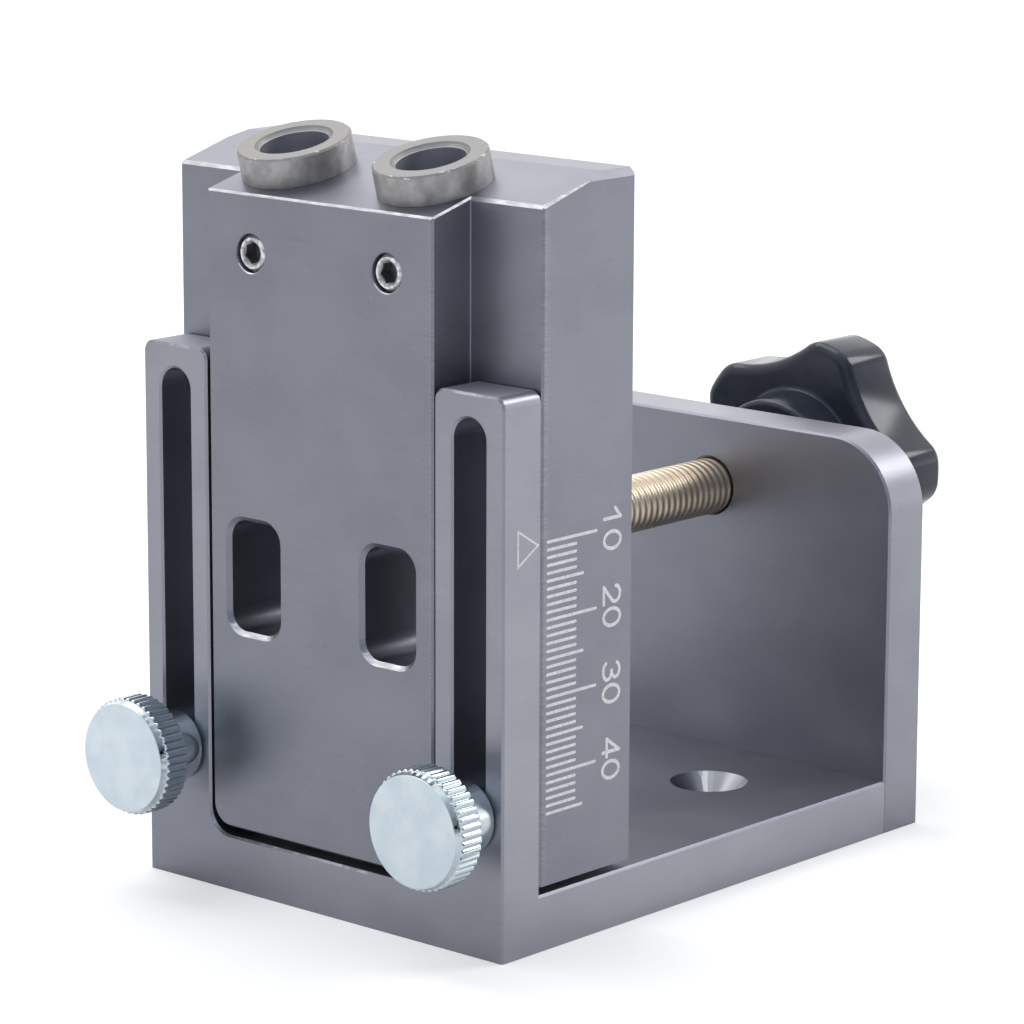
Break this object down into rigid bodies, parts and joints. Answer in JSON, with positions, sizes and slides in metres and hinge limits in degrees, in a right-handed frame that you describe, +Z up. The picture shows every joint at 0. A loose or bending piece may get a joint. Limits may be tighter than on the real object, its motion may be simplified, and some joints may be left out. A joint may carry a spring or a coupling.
{
  "type": "pocket hole jig",
  "caption": "Pocket hole jig: a sliding aluminium drill block with angled steel guide bushes on a slotted frame, locked by thumb screws, with a knob-driven clamp screw.",
  "frame": {"origin": "middle of the base's flat underside", "axes": "+Z up, +Y from the drill block towards the clamp knob, +X to the right as seen from the front"},
  "size_m": [0.0674, 0.1196, 0.1012],
  "materials": {
    "anodised_frame": "grey anodised, fine bead-blasted satin",
    "anodised_plate": "grey anodised, fine bead-blasted satin",
    "anodised_block": "grey anodised, fine bead-blasted satin, milled edges bright",
    "hardened_steel": "hardened and ground, faint heat blotches",
    "bright_steel": "bright zinc",
    "zinc_plated_steel": "blue-white zinc, slightly blotchy",
    "yellow_zinc_steel": "yellow zinc",
    "plain_aluminium": "turned",
    "soft_facing": "matt",
    "spring_steel": "dark phosphate",
    "black_plastic": "gloss black",
    "insert_brass": "turned",
    "plate_screw_steel": "black oxide"
  },
  "bodies": {
    "base": {"base_frame": "anodised_frame", "back_plate": "anodised_plate", "back_plate_screws": "plate_screw_steel"},
    "block": {"drill_block": "anodised_block", "guide_bush_left": "hardened_steel", "guide_bush_right": "hardened_steel", "set_screw_left": "bright_steel", "set_screw_right": "bright_steel"},
    "thumb_left": {"thumb_screw_left": "zinc_plated_steel"},
    "thumb_right": {"thumb_screw_right": "zinc_plated_steel"},
    "pad": {"clamp_pad": "plain_aluminium", "pad_facing": "soft_facing"},
    "screw": {"clamp_screw": "yellow_zinc_steel", "pad_clip": "spring_steel", "star_knob": "black_plastic", "knob_insert": "insert_brass"}
  },
  "joints": [
    {"name": "block_height", "type": "slide", "parent": "base", "child": "block", "axis": [0, 0, 1], "range_m": [-0.001, 0.048]},
    {"name": "thumb_left_turn", "type": "hinge", "parent": "block", "child": "thumb_left", "pos_m": [-0.02587, -0.0435, 0.01835], "axis": [0, -1, 0], "range_deg": [0, 720]},
    {"name": "thumb_right_turn", "type": "hinge", "parent": "block", "child": "thumb_right", "pos_m": [0.02587, -0.0435, 0.01835], "axis": [0, -1, 0], "range_deg": [0, 720]},
    {"name": "clamp_travel", "type": "slide", "parent": "base", "child": "pad", "axis": [0, 1, 0], "range_m": [-0.005, 0.0326]},
    {"name": "clamp_turn", "type": "hinge", "parent": "pad", "child": "screw", "pos_m": [0, 0, 0.0448], "axis": [0, 1, 0], "range_deg": [-1441, 9390]}
  ],
  "couplings": [
    {"joint": "clamp_turn", "follows": "clamp_travel", "rad_per_m": 5026.5}
  ]
}
